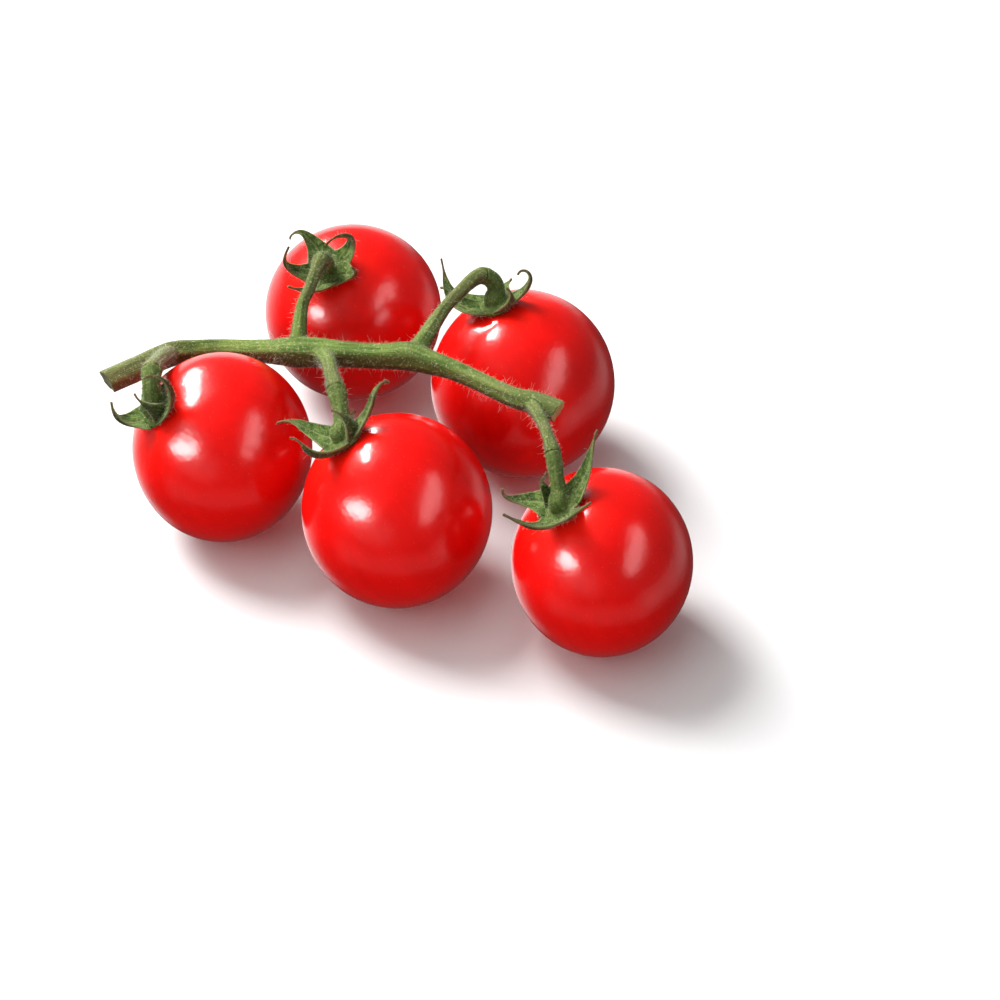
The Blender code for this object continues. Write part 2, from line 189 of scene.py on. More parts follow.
def grown_together(name, parts, voxel, smoothing):
    """One closed skin round the parts, with soft joints, that keeps the grain and the rest at each point."""
    starts = np.cumsum([0] + [len(part["points"]) for part in parts])
    points = np.concatenate([part["points"] for part in parts])
    faces = [tuple(corner + int(start) for corner in face)
             for part, start in zip(parts, starts) for face in part["faces"]]
    mesh = bpy.data.meshes.new(name)
    mesh.from_pydata(points.tolist(), [], faces)
    piece = bpy.data.objects.new(name, mesh)
    bpy.context.scene.collection.objects.link(piece)
    skin = piece.modifiers.new("skin", "REMESH")
    skin.mode = "VOXEL"
    skin.voxel_size = voxel
    skin.use_smooth_shade = True
    soften = piece.modifiers.new("soften", "SMOOTH")
    soften.factor = 0.5
    soften.iterations = smoothing
    bpy.context.view_layer.update()
    whole = bpy.data.meshes.new_from_object(piece.evaluated_get(bpy.context.evaluated_depsgraph_get()))
    piece.modifiers.clear()
    piece.data = whole
    whole.name = name
    near = BVHTree.FromPolygons([Vector(point) for point in points], faces)
    carried = {"grain": np.concatenate([part["grain"] for part in parts]),
               "blade": np.concatenate([part["blade"] for part in parts]),
               "cut": np.concatenate([part["cut"] for part in parts])}
    found = {trait: [] for trait in carried}
    for vertex in whole.vertices:
        spot, _, index, _ = near.find_nearest(vertex.co)
        corners = list(faces[index])
        shares = poly_3d_calc([Vector(points[corner]) for corner in corners], spot)
        for trait, values in carried.items():
            found[trait].append(np.dot(shares, values[corners]))
    for trait, values in found.items():
        flat = np.array(values, np.float32)
        if flat.ndim == 1:
            whole.attributes.new(trait, "FLOAT", "POINT").data.foreach_set("value", flat)
        else:
            whole.attributes.new(trait, "FLOAT_VECTOR", "POINT").data.foreach_set("vector", flat.ravel())
    whole.transform(Matrix.Scale(MM, 4))
    return piece


class Socket:
    """One output of a node tree. A sum or product of it adds the Math nodes that it needs."""

    def __init__(self, tree, output=None):
        self.tree = tree
        self.output = output

    def node(self, kind, settings=None, values=None, take=0):
        """A node of any kind: its settings first, then its sockets, each a value or a link."""
        made = self.tree.nodes.new(kind)
        for name, setting in (settings or {}).items():
            setattr(made, name, setting)
        for name, value in (values or {}).items():
            if isinstance(value, Socket):
                self.tree.links.new(value.output, made.inputs[name])
            else:
                made.inputs[name].default_value = value
        return Socket(self.tree, made.outputs[take])

    def maths(self, operation, *values):
        return self.node("ShaderNodeMath", {"operation": operation}, dict(enumerate(values)))

    def __add__(self, other):
        return self.maths("ADD", self, other)

    def __sub__(self, other):
        return self.maths("SUBTRACT", self, other)

    def __rsub__(self, other):
        return self.maths("SUBTRACT", other, self)

    def __mul__(self, other):
        return self.maths("MULTIPLY", self, other)

    def __truediv__(self, other):
        return self.maths("DIVIDE", self, other)

    def __pow__(self, other):
        return self.maths("POWER", self, other)

    __radd__ = __add__
    __rmul__ = __mul__

    def between(self, low, high):
        """0 below low and 1 above high, with a soft step between."""
        return self.node("ShaderNodeMapRange", {"interpolation_type": "SMOOTHSTEP"},
                         {"Value": self, "From Min": low, "From Max": high})

    def mix(self, low, high):
        """The colour low where this is 0, and high where it is 1."""
        return self.node("ShaderNodeMix", {"data_type": "RGBA"}, {0: self, 6: low, 7: high}, take=2)

    def scaled(self, factors):
        """A vector with each part multiplied."""
        return self.node("ShaderNodeVectorMath", {"operation": "MULTIPLY"}, {0: self, 1: factors})

    def noise(self, scale, detail=2.0):
        """Noise from -1 to 1 or so round 0, over this vector."""
        return self.node("ShaderNodeTexNoise", None,
                         {"Vector": self, "Scale": scale, "Detail": detail}) * 2.0 - 1.0

    def part(self, axis):
        """One part of a vector: 0, 1 or 2."""
        return self.node("ShaderNodeSeparateXYZ", None, {"Vector": self}, take=axis)


def new_finish(name, **constants):
    """A material, its root for expressions and its shader. The constants go straight on the shader."""
    material = bpy.data.materials.new(name)
    material.use_nodes = True
    tree = material.node_tree
    shader = tree.nodes["Principled BSDF"]
    for socket, value in constants.items():
        shader.inputs[socket.replace("_", " ")].default_value = value
    return material, Socket(tree), shader


def feed(shader, **links):
    for socket, value in links.items():
        value.tree.links.new(value.output, shader.inputs[socket.replace("_", " ")])


def bumpy(root, height, distance):
    """Normals for a surface with this height, of 1 or so, over that many metres."""
    return root.node("ShaderNodeBump", None, {"Height": height, "Distance": distance, "Strength": 1.0})


YOUNG_GREEN = (0.180, 0.260, 0.060, 1.0)
DEEP_GREEN = (0.062, 0.105, 0.024, 1.0)
# a dark olive for the underside, which also stands in for painted shade
UNDERSIDE_OLIVE_AND_SHADE = (0.036, 0.036, 0.011, 1.0)
OLD_OLIVE = (0.190, 0.185, 0.085, 1.0)
STALK_TAN = (0.155, 0.128, 0.064, 1.0)
FIBRE_BROWN = (0.150, 0.085, 0.040, 1.0)
PALE_HAIR_BASE = (0.420, 0.470, 0.220, 1.0)
PITH = (0.560, 0.520, 0.220, 1.0)
DRY_PITH = (0.190, 0.180, 0.080, 1.0)
# where the colour changes: heights over which the stalks turn tan, and places along X over which
# the old end fades, over which the first stalk's knee is brown, and after which the pith is fresh
TAN_HEIGHTS = (34.5, 37.5)
OLD_END = (-46.0, -36.0)
BROWN_KNEE = (-44.5, -40.0)
YOUNG_END = (0.0, 10.0)


def stem_finish():
    """Fresh stem: streaked green, browner at the old end, darker olive below (partly its own colour and
    partly painted shade), with pale dots where its hairs stand.
    """
    material, root, shader = new_finish("stem_green", Specular_IOR_Level=0.15, Subsurface_Weight=0.12,
                                        Subsurface_Scale=0.002, Subsurface_Radius=(0.6, 1.0, 0.3))
    grain = root.node("ShaderNodeAttribute", {"attribute_name": "grain"}, take=1)
    cut = root.node("ShaderNodeAttribute", {"attribute_name": "cut"}, take=2)
    place = root.node("ShaderNodeTexCoord", take=3)
    upward = root.node("ShaderNodeTexCoord", take=1).part(2)
    streaks = grain.scaled((1.0, 1.0, 0.08)).noise(1.3, 3.0)
    fibres = grain.scaled((1.0, 1.0, 0.05)).noise(4.0, 2.0)
    patches = place.noise(230.0, 2.0)
    dots = place.noise(2100.0, 1.0)
    colour = (streaks * 0.8 + patches * 0.6 + 0.5).between(0.0, 1.0).mix(DEEP_GREEN, YOUNG_GREEN)
    # darker olive where the surface faces down: partly the stem's own colour, partly painted shade
    below = (0.9 - upward + patches * 0.3).between(0.0, 1.0)
    colour = (below * 0.85).mix(colour, UNDERSIDE_OLIVE_AND_SHADE)
    along = place.part(0) * (1 / MM)
    raised = (place.part(2) * (1 / MM) + patches * 2.0).between(*TAN_HEIGHTS)
    colour = (raised * (patches * 0.5 + 0.4)).mix(colour, STALK_TAN)
    old = 1 - (along + patches * 3.0).between(*OLD_END)
    colour = (old * (streaks * 0.5 + 0.55)).mix(colour, OLD_OLIVE)
    knee = old * along.between(*BROWN_KNEE) * fibres.between(0.0, 0.5)
    colour = (knee * 0.8).mix(colour, FIBRE_BROWN)
    colour = (fibres.between(0.25, 0.8) * 0.25).mix(colour, PALE_HAIR_BASE)
    # the pale dots are fainter on the underside: painted shade
    colour = (dots.between(0.15, 0.5) * (0.6 - below * 0.35)).mix(colour, PALE_HAIR_BASE)
    young_end = along.between(*YOUNG_END)
    ring = grain.noise(1.6, 2.0) * 0.3 + 0.75
    colour = (cut.between(0.3, 0.7) * ring).mix(colour, young_end.mix(DRY_PITH, PITH))
    feed(shader, Base_Color=colour, Roughness=0.46 + dots * 0.08 + patches * 0.06,
         Normal=bumpy(root, streaks * 0.6 + fibres * 0.3 + dots * 0.2, 0.00025))
    return material


def build_stem():
    rings = rings_along(smooth_path(STEM, PATH_STEPS))
    old_face = [ring_beside(rings[0], sunk, part) for sunk, part in CUT_FACE]
    young_face = [ring_beside(rings[-1], -sunk, part) for sunk, part in reversed(CUT_FACE)]
    parts = [ribbed_tube(old_face + rings + young_face, STEM_SIDES, STEM_RIBS, STEM_RIB_DEPTH, len(CUT_FACE))]
    for stalk in STALKS:
        stalk_rings = rings_along(smooth_path(stalk["points"], PATH_STEPS))
        near, _ = stalk_halves(stalk_rings, stalk["knuckle"] * PATH_STEPS)
        parts.append(ribbed_tube(near, STALK_SIDES, STALK_RIBS, STALK_RIB_DEPTH))
    stem = grown_together("green_stem", parts, STEM_VOXEL, STEM_SMOOTHING)
    stem.data.materials.append(stem_finish())
    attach(stem, "root")
    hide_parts("truss_stem")
    return stem


stem = build_stem()

# Calyxes
# The star of five sepals on each tomato, with the far half of its stalk, which flares into it. The
# sepals are thin leaves, cupped and curling, darker and greyer outside, with pale edges and dry tips.

# the tomatoes in order along the stem: the centre in plan, the half height (and half depth), the
# half width along X, and the way the stem end faces
TOMATOES = (
    dict(centre=(-30.7, -4.6), half_height=17.25, half_width=16.34, stem_end=(-0.679, -0.214, 0.703)),
    dict(centre=(-7.9, 34.7), half_height=16.58, half_width=16.58, stem_end=(-0.270, -0.373, 0.888)),
    dict(centre=(1.3, -22.0), half_height=17.50, half_width=17.05, stem_end=(-0.532, 0.155, 0.832)),
    dict(centre=(23.9, 13.1), half_height=17.35, half_width=16.98, stem_end=(-0.290, 0.163, 0.943)),
    dict(centre=(37.7, -34.8), half_height=16.76, half_width=16.06, stem_end=(-0.450, -0.117, 0.885)),
)
# how far the fruit's own weight has flattened it where it rests
REST_FLAT = 0.2
# the hollow round the stem end: its depth and half width, as parts of the fruit's radius
DIMPLE_DEPTH = 0.053
DIMPLE_SPREAD = 0.22
# space between the shoulder of the fruit and the calyx's own origin
CALYX_CLEARANCE = 0.3

# Sepals, looking down on the calyx: heading, length, width, angle above the fruit at the root and
# at the tip, the turn of the heading along the blade, and the hook of its last part, up and round.
SEPALS = (
    (
        (205, 9.8, 6.2, 30, 172, 16, -15, 40),
        (-42, 7.8, 3.0, 60, 150, -16, 0, -30),
        (-25, 16.4, 5.4, 13, 117, 70, 17, 53),
        (62, 3.6, 3.2, 0, -8, 0, 0, 0),
        (125, 6.5, 3.2, 0, -18, 0, 0, 0),
    ),
    (
        (106, 9.8, 4.8, 10, 73, 48, -93, 104),
        (193, 13.3, 4.2, 40, 148, 3, -5, 26),
        (29, 14.7, 4.2, 10, 206, 2, 8, 0),
        (-21, 8.7, 4.8, 8, 98, -10, 19, 0),
        (-94, 12.3, 4.2, 40, 89, -63, -39, -27),
    ),
    (
        (147, 12.4, 5.0, 28, 50, -20, -50, 50),
        (-117, 13.3, 4.8, 12, 114, 3, 45, 104),
        (2, 12.6, 4.6, 17, 80, 22, -148, 54),
        (-21, 7.2, 4.4, 55, 164, -3, -18, -8),
        (80, 7.0, 3.4, 2, -14, 0, 0, 0),
    ),
    (
        (196, 14.3, 5.0, 16, 92, -163, -18, 39),
        (154, 10.2, 3.8, 10, 49, -27, -58, 14),
        (-12, 11.4, 4.2, 13, 109, 14, 99, 50),
        (-48, 7.2, 4.0, 16, 111, 2, 21, 25),
        (72, 7.0, 3.4, 2, -12, 0, 0, 0),
    ),
    (
        (148, 11.0, 5.2, 5, 81, 61, 44, -6),
        (-108, 14.4, 5.0, 25, 119, -50, -54, -20),
        (34, 13.0, 4.8, 11, 77, 17, -52, -3),
        (-69, 11.9, 5.0, 31, 56, 60, -66, 39),
        (126, 8.1, 3.0, 70, 150, 19, 35, 113),
    ),
)
# where along the blade its hook starts, and how late the hook closes: 1 is an even curl
HOOK_START = 0.55
HOOK_BEND = 1.5
SEPAL_STATIONS = 44
SEPAL_ACROSS = 12
SEPAL_ROOT_RADIUS = 2.4
SEPAL_ROOT_HEIGHT = 0.5
SEPAL_TIP_WIDTH = 0.36
# the lance outline: its width at the root as a part of the sepal's, how far it swells, and its taper
LANCE_ROOT = 0.95
LANCE_SWELL = 1.3
LANCE_TAPER = 1.7
# how late along the blade it bends up: 1 is an even bend, more leaves the root straighter
SEPAL_BEND = 1.4
# thickness at the midrib, and the part of it left at the edges
SEPAL_THICKNESS = 0.56
SEPAL_EDGE_PART = 0.6
# how far the edges stand above the midrib at the root and at the tip, as parts of half the width
SEPAL_CUP = (0.15, 0.85)
# the web between two sepals: how much it widens each at the root, and how far out it reaches
WEB_WIDTH = 1.3
WEB_REACH = 2.3
MIDRIB_HEIGHT = 0.14
MIDRIB_WIDTH = 0.14
# the stalk's foot along the calyx axis, and the disc under the sepals: radius and height
STALK_FOOT = ((2.1, 1.72), (1.2, 2.1), (0.6, 2.7))
RECEPTACLE = ((0.0, -0.75), (1.6, -0.75), (2.9, -0.1), (3.5, 0.35), (3.3, 0.8), (2.5, 1.2), (0.0, 1.6))
RECEPTACLE_SEGMENTS = 40
CALYX_VOXEL = 0.125
CALYX_SMOOTHING = 3


def fruit_radius(polar):
    """Radius of a fruit of radius 1 at an angle from its stem end."""
    return 1.0 - DIMPLE_DEPTH * math.exp(-(polar / DIMPLE_SPREAD) ** 2)


def facing(origin, axis):
    """A frame at the origin with Z along the axis, and X as near the world's as it can be."""
    axis = axis.normalized()
    across = Vector((1.0, 0.0, 0.0))
    across = (across - axis * across.dot(axis)).normalized()
    turn = Matrix((across, axis.cross(across), axis)).transposed()
    return Matrix.Translation(origin) @ turn.to_4x4()


def fruit_place(tomato):
    """The frame of one tomato: Z out of its stem end, squeezed to its width along the world's X."""
    squeeze = Matrix.Diagonal((tomato["half_width"] / tomato["half_height"], 1.0, 1.0, 1.0))
    centre = Vector((*tomato["centre"], tomato["half_height"] - REST_FLAT))
    turn = facing(Vector(), Vector(tomato["stem_end"]))
    return Matrix.Translation(centre) @ squeeze @ turn


def calyx_place(tomato):
    """The frame of one calyx: its origin just clear of the shoulder, Z out of the fruit."""
    place = fruit_place(tomato)
    # the shoulder is the highest ring round the hollow, looked for over the stem end's first 0.6 rad
    angles = [step / 100 for step in range(60)]
    shoulder = max(fruit_radius(angle) * math.cos(angle) for angle in angles)
    origin = place @ Vector((0.0, 0.0, tomato["half_height"] * shoulder + CALYX_CLEARANCE))
    squeezed_axis = place.to_3x3().inverted().transposed() @ Vector((0.0, 0.0, 1.0))
    return facing(origin, squeezed_axis)


def turned_disc(profile, segments, place):
    """A solid of revolution from rows of radius and height, both ends on the axis."""
    points = [place @ Vector((0.0, 0.0, profile[0][1]))]
    grain = [(0.0, 0.0, profile[0][1])]
    for radius, height in profile[1:-1]:
        for segment in range(segments):
            angle = 2 * math.pi * segment / segments
            local = Vector((radius * math.cos(angle), radius * math.sin(angle), height))
            points.append(place @ local)
            grain.append(tuple(local))
    points.append(place @ Vector((0.0, 0.0, profile[-1][1])))
    grain.append((0.0, 0.0, profile[-1][1]))
    last = len(points) - 1
    top = last - segments
    faces = []
    for segment in range(segments):
        following = (segment + 1) % segments
        faces += [(0, 1 + following, 1 + segment), (top + segment, top + following, last)]
        for low in range(1, top, segments):
            high = low + segments
            faces.append((low + segment, low + following, high + following, high + segment))
    return solid(points, faces, grain)


def sepal_half_width(share, width, length):
    """A lance shape, widened at the root by the web that joins it to its neighbours."""
    outline = width * (1 - share) ** LANCE_TAPER * (LANCE_ROOT + LANCE_SWELL * share)
    lance = max(SEPAL_TIP_WIDTH, outline)
    return (lance + WEB_WIDTH * math.exp(-(share * length / WEB_REACH) ** 2)) / 2


def sepal_blade(place, sepal):
    """One sepal as a closed blade. Its blade trait is the share along it, across it and which face it is."""
    heading, length, width, root_angle, tip_angle, turn, hook_up, hook_round = sepal
    yaw = math.radians(heading)
    position = Vector((math.cos(yaw), math.sin(yaw), 0.0)) * SEPAL_ROOT_RADIUS
    position.z = SEPAL_ROOT_HEIGHT
    upper = []
    lower = []
    grain = []
    blade = []
    for station in range(SEPAL_STATIONS):
        share = station / (SEPAL_STATIONS - 1)
        hook = (max(share - HOOK_START, 0.0) / (1 - HOOK_START)) ** HOOK_BEND
        yaw = math.radians(heading + turn * share + hook_round * hook)
        pitch = math.radians(root_angle + (tip_angle - root_angle) * share ** SEPAL_BEND + hook_up * hook)
        along = Vector((math.cos(pitch) * math.cos(yaw), math.cos(pitch) * math.sin(yaw), math.sin(pitch)))
        across = Vector((-math.sin(yaw), math.cos(yaw), 0.0))
        inward = along.cross(across)
        if station:
            position = position + along * length / (SEPAL_STATIONS - 1)
        half = sepal_half_width(share, width, length)
        cup = SEPAL_CUP[0] + (SEPAL_CUP[1] - SEPAL_CUP[0]) * share
        for column in range(SEPAL_ACROSS + 1):
            side = 2 * column / SEPAL_ACROSS - 1
            middle = position + across * half * side + inward * half * cup * side ** 2
            thick = SEPAL_THICKNESS * (1 - (1 - SEPAL_EDGE_PART) * side ** 2) / 2
            rib = MIDRIB_HEIGHT * (1 - share) * math.exp(-(side / MIDRIB_WIDTH) ** 2)
            upper.append(place @ (middle + inward * (thick - rib)))
            lower.append(place @ (middle - inward * (thick + rib)))
            grain.append((side * half, 0.0, share * length))
            blade.append((share, abs(side), 0.0))
    row = SEPAL_ACROSS + 1
    under = len(upper)
    faces = []
    for station in range(SEPAL_STATIONS - 1):
        for column in range(SEPAL_ACROSS):
            a = station * row + column
            b = a + row
            faces += [(a, b, b + 1, a + 1), (under + a, under + a + 1, under + b + 1, under + b)]
        for a in (station * row, station * row + SEPAL_ACROSS):
            faces.append((a, a + row, under + a + row, under + a))
    for end in (0, (SEPAL_STATIONS - 1) * row):
        for a in range(end, end + SEPAL_ACROSS):
            faces.append((a, a + 1, under + a + 1, under + a))
    outer = [(share, side, 1.0) for share, side, _ in blade]
    return solid(upper + lower, faces, grain + grain, blade + outer)


LEAF_GREEN = (0.042, 0.080, 0.017, 1.0)
LEAF_LIGHT = (0.185, 0.265, 0.070, 1.0)
LEAF_OUTSIDE = (0.060, 0.068, 0.030, 1.0)
LEAF_EDGE = (0.380, 0.380, 0.170, 1.0)
DRY_TIP = (0.200, 0.130, 0.065, 1.0)
STALK_GREEN = (0.130, 0.170, 0.048, 1.0)


def calyx_finish():
    """Sepals: mottled green inside, greyer outside, with pale edges, veins and brown tips."""
    material, root, shader = new_finish("calyx_green", Specular_IOR_Level=0.15, Subsurface_Weight=0.1,
                                        Subsurface_Scale=0.001, Subsurface_Radius=(0.6, 1.0, 0.3))
    grain = root.node("ShaderNodeAttribute", {"attribute_name": "grain"}, take=1)
    blade = root.node("ShaderNodeAttribute", {"attribute_name": "blade"}, take=1)
    place = root.node("ShaderNodeTexCoord", take=3)
    along = blade.part(0)
    across = blade.part(1)
    outside = blade.part(2)
    streaks = grain.scaled((1.0, 1.0, 0.1)).noise(2.4, 2.0)
    mottle = place.noise(900.0, 3.0)
    dots = place.noise(2300.0, 1.0)
    colour = (mottle * 0.9 + streaks * 0.5 + 0.35).between(0.0, 1.0).mix(LEAF_GREEN, LEAF_LIGHT)
    colour = (outside * (0.75 + mottle * 0.3)).mix(colour, LEAF_OUTSIDE)
    stalk = (1 - across.between(0.0, 0.02)) * (1 - along.between(0.0, 0.005))
    colour = (stalk * (0.55 + streaks * 0.3)).mix(colour, STALK_GREEN)
    colour = (across.between(0.82, 0.98) * along.between(0.0, 0.15) * 0.6).mix(colour, LEAF_EDGE)
    midrib = 1 - across.between(0.0, 0.12)
    colour = (midrib * along.between(0.02, 0.1) * (1 - outside) * 0.4).mix(colour, LEAF_EDGE)
    colour = ((along + mottle * 0.12).between(0.62, 0.95) * 0.85).mix(colour, DRY_TIP)
    colour = (dots.between(0.15, 0.5) * 0.5).mix(colour, LEAF_EDGE)
    feed(shader, Base_Color=colour, Roughness=0.48 + mottle * 0.1,
         Normal=bumpy(root, streaks * 0.7 + dots * 0.3 + mottle * 0.4, 0.0002))
    return material


def build_calyx(number, tomato, stalk, sepals, finish):
    place = calyx_place(tomato)
    foot = tuple((*(place @ Vector((0.0, 0.0, height))), radius) for height, radius in STALK_FOOT)
    rings = rings_along(smooth_path(stalk["points"] + foot, PATH_STEPS))
    _, far = stalk_halves(rings, stalk["knuckle"] * PATH_STEPS)
    parts = [ribbed_tube(far, STALK_SIDES, STALK_RIBS, STALK_RIB_DEPTH)]
    parts.append(turned_disc(RECEPTACLE, RECEPTACLE_SEGMENTS, place))
    parts += [sepal_blade(place, sepal) for sepal in sepals]
    calyx = grown_together(f"green_calyx_{number}", parts, CALYX_VOXEL, CALYX_SMOOTHING)
    calyx.data.materials.append(finish)
    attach(calyx, "root")
    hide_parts(f"calyx_{number}")
    return calyx


calyx_green = calyx_finish()
calyxes = [build_calyx(number, tomato, stalk, sepals, calyx_green)
           for number, (tomato, stalk, sepals) in enumerate(zip(TOMATOES, STALKS, SEPALS), start=1)]

# Tomatoes
# Five ripe fruits, thin glossy skin over red flesh, each hung from its calyx by the hollow at its
# stem end. Their form follows one rule, so one Geometry Nodes tree makes all five.

# corners along each edge of the cube that is blown up into a fruit
FRUIT_GRID = 88
# soft creases that run out from the hollow: their depth as a part of the radius, how many, how far
# they wander round, and the angle from the stem end where they are deepest, with their spread there
CREASE_DEPTH = 0.006
CREASES = 5.0
CREASE_WANDER = 3.0
CREASE_ANGLE = 0.5
CREASE_SPREAD = 0.28
# slow lumps all over the fruit: their height as a part of its radius, and how many to a radius
LUMP = 0.006
LUMP_SCALE = 1.1
# the step from one fruit's seed to the next
SEED_STEP = 1.7


def tomato_form():
    """The node tree of one fruit of radius 1 with its stem end up, before it is placed."""
    tree = bpy.data.node_groups.new("tomato_form", "GeometryNodeTree")
    inputs = {}
    for name, kind in (("Grid", "NodeSocketInt"), ("Hollow Depth", "NodeSocketFloat"),
                       ("Hollow Spread", "NodeSocketFloat"), ("Crease Depth", "NodeSocketFloat"),
                       ("Creases", "NodeSocketFloat"), ("Lump", "NodeSocketFloat"),
                       ("Seed", "NodeSocketFloat"), ("Skin", "NodeSocketMaterial")):
        inputs[name] = tree.interface.new_socket(name, in_out="INPUT", socket_type=kind).identifier
    tree.interface.new_socket("Fruit", in_out="OUTPUT", socket_type="NodeSocketGeometry")
    root = Socket(tree)
    given = tree.nodes.new("NodeGroupInput")
    value = {name: Socket(tree, given.outputs[name]) for name in inputs}
    grid = value["Grid"]
    cube = root.node("GeometryNodeMeshCube", None,
                     {"Size": (2.0, 2.0, 2.0), "Vertices X": grid, "Vertices Y": grid, "Vertices Z": grid})
    spread = root.node("GeometryNodeInputPosition").scaled((math.pi / 4,) * 3)
    evened = root.node("ShaderNodeVectorMath", {"operation": "TANGENT"}, {0: spread})
    outward = root.node("ShaderNodeVectorMath", {"operation": "NORMALIZE"}, {0: evened})
    ball = root.node("GeometryNodeSetPosition", None, {"Geometry": cube, "Position": outward})
    ball = root.node("GeometryNodeStoreNamedAttribute", {"data_type": "FLOAT_VECTOR"},
                     {"Geometry": ball, "Name": "from_stem", "Value": root.node("GeometryNodeInputPosition")})
    here = root.node("GeometryNodeInputPosition")
    # the ends are kept just inside the arc cosine's range
    polar = root.maths("ARCCOSINE", here.part(2) * 0.9999)
    round_axis = root.maths("ARCTAN2", here.part(1), here.part(0))
    hollow = root.maths("EXPONENT", (polar / value["Hollow Spread"]) ** 2 * -1.0)
    wobble = root.node("ShaderNodeTexNoise", {"noise_dimensions": "4D"},
                       {"Vector": here, "W": value["Seed"], "Scale": LUMP_SCALE, "Detail": 1.0}) - 0.5
    crease_band = root.maths("EXPONENT", ((polar - CREASE_ANGLE) / CREASE_SPREAD) ** 2 * -1.0)
    crease_turn = round_axis * value["Creases"] + value["Seed"] + wobble * CREASE_WANDER
    creases = root.maths("COSINE", crease_turn) * crease_band
    radius = 1.0 - hollow * value["Hollow Depth"] + creases * value["Crease Depth"] + wobble * value["Lump"]
    grown = root.node("ShaderNodeVectorMath", {"operation": "SCALE"}, {0: here, "Scale": radius})
    fruit = root.node("GeometryNodeSetPosition", None, {"Geometry": ball, "Position": grown})
    fruit = root.node("GeometryNodeSetShadeSmooth", None, {"Geometry": fruit, "Shade Smooth": True})
    fruit = root.node("GeometryNodeRealizeInstances", None, {"Geometry": fruit})
    fruit = root.node("GeometryNodeSetMaterial", None, {"Geometry": fruit, "Material": value["Skin"]})
    finished = tree.nodes.new("NodeGroupOutput")
    tree.links.new(fruit.output, finished.inputs["Fruit"])
    return tree, inputs


RIPE_RED = (0.800, 0.0040, 0.0025, 1.0)
DEEP_RED = (0.640, 0.0025, 0.0018, 1.0)
WARM_RED = (0.820, 0.0120, 0.0040, 1.0)
PORE = (0.900, 0.130, 0.040, 1.0)
SCAR = (0.110, 0.045, 0.015, 1.0)


def skin_finish():
    """Ripe skin: glossy red, warmer at the shoulder, with faint pale pores and the blossom's scar."""
    material, root, shader = new_finish("ripe_skin", IOR=1.3, Specular_IOR_Level=0.5, Subsurface_Weight=0.12,
                                        Subsurface_Scale=0.003, Subsurface_Radius=(1.0, 0.15, 0.08))
    from_stem = root.node("ShaderNodeAttribute", {"attribute_name": "from_stem"}, take=1)
    place = root.node("ShaderNodeTexCoord", take=3)
    up = from_stem.part(2)
    clouds = place.noise(70.0, 2.0)
    rays = from_stem.scaled((1.0, 1.0, 0.15)).noise(7.0, 2.0)
    pores = root.node("ShaderNodeTexVoronoi", {"feature": "F1"}, {"Vector": place, "Scale": 1100.0})
    peel = place.noise(420.0, 2.0)
    colour = (clouds * 0.5 + rays * 0.35 + 0.5).between(0.0, 1.0).mix(DEEP_RED, RIPE_RED)
    colour = (up.between(0.75, 1.0) * 0.5).mix(colour, WARM_RED)
    colour = ((1 - pores.between(0.06, 0.16)) * 0.22).mix(colour, PORE)
    scar = (-1.0 * up).between(0.9982, 0.9994)
    colour = scar.mix(colour, SCAR)
    feed(shader, Base_Color=colour, Roughness=0.21 + clouds * 0.02 + scar * 0.4,
         Normal=bumpy(root, peel * 0.5 + pores * 0.4, 0.00004))
    return material


form, form_inputs = tomato_form()
skin = skin_finish()


def build_tomato(number, tomato):
    piece = bpy.data.objects.new(f"red_tomato_{number}", bpy.data.meshes.new("seed_mesh"))
    bpy.context.scene.collection.objects.link(piece)
    rule = piece.modifiers.new("form", "NODES")
    rule.node_group = form
    for name, setting in (("Grid", FRUIT_GRID), ("Hollow Depth", DIMPLE_DEPTH),
                          ("Hollow Spread", DIMPLE_SPREAD), ("Crease Depth", CREASE_DEPTH),
                          ("Creases", CREASES), ("Lump", LUMP), ("Seed", SEED_STEP * number),
                          ("Skin", skin)):
        rule[form_inputs[name]] = setting
    bpy.context.view_layer.update()
    fruit = bpy.data.meshes.new_from_object(piece.evaluated_get(bpy.context.evaluated_depsgraph_get()))
    piece.modifiers.clear()
    piece.data = fruit
    fruit.name = piece.name
    fruit.transform(Matrix.Scale(MM, 4) @ fruit_place(tomato) @ Matrix.Scale(tomato["half_height"], 4))
    for vertex in fruit.vertices:
        vertex.co.z = max(vertex.co.z, 0.0)
    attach(piece, "root")
    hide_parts(f"tomato_{number}")
    return piece


fruits = [build_tomato(number, tomato) for number, tomato in enumerate(TOMATOES, start=1)]

# Hairs
# Fine pale hairs grow straight out of the stem, stalks and sepals: a short dense down, and longer
# ones spread thinly among it. They are part of the plant's own skin.

# sides of a hair and steps along it
HAIR_SIDES = 3
HAIR_STEPS = 3
# a hair's shape, as parts of its length: where its middle is, and how high and far over its tip is
HAIR_MIDDLE = 0.55
HAIR_TIP_HEIGHT = 0.95
HAIR_TIP_OVER = 0.28
# the part of its thickness that it loses by the tip, the smallest and largest hair as parts of the
# given length, and what keeps the draw of sizes apart from the draw of places
HAIR_TAPER = 0.75
HAIR_SIZES = (0.45, 1.25)
SIZE_SEED_STEP = 7.0


